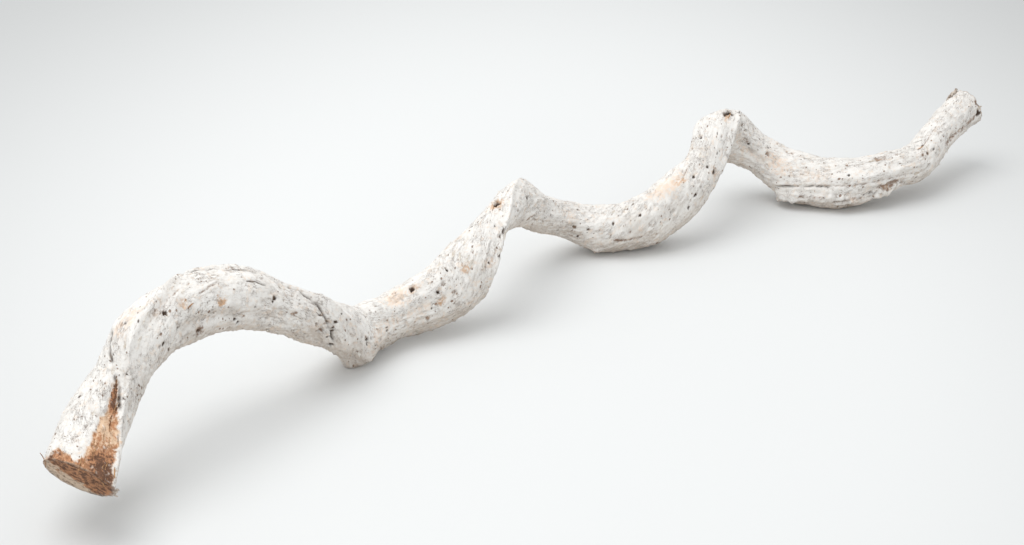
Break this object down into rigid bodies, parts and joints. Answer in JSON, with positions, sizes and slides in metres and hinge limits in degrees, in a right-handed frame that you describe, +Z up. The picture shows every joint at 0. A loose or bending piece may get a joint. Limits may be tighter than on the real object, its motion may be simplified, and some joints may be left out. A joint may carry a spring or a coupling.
{
  "type": "dry twisted root",
  "caption": "Dry, whitewashed root that coils like a loose corkscrew, with three raised arches, a slanting sawn thick end and a thinner raised end, lying on a surface.",
  "frame": {"origin": "bottom centre of the bounding box, on the surface the root lies on", "axes": "+X along the root from the thick sawn end to the thin end, +Z up from the surface"},
  "size_m": [1.0178, 0.1728, 0.1316],
  "materials": {
    "limed_wood": "matt, bleached and whitewashed"
  },
  "bodies": {
    "root": {"dry_root": "limed_wood"}
  },
  "joints": []
}
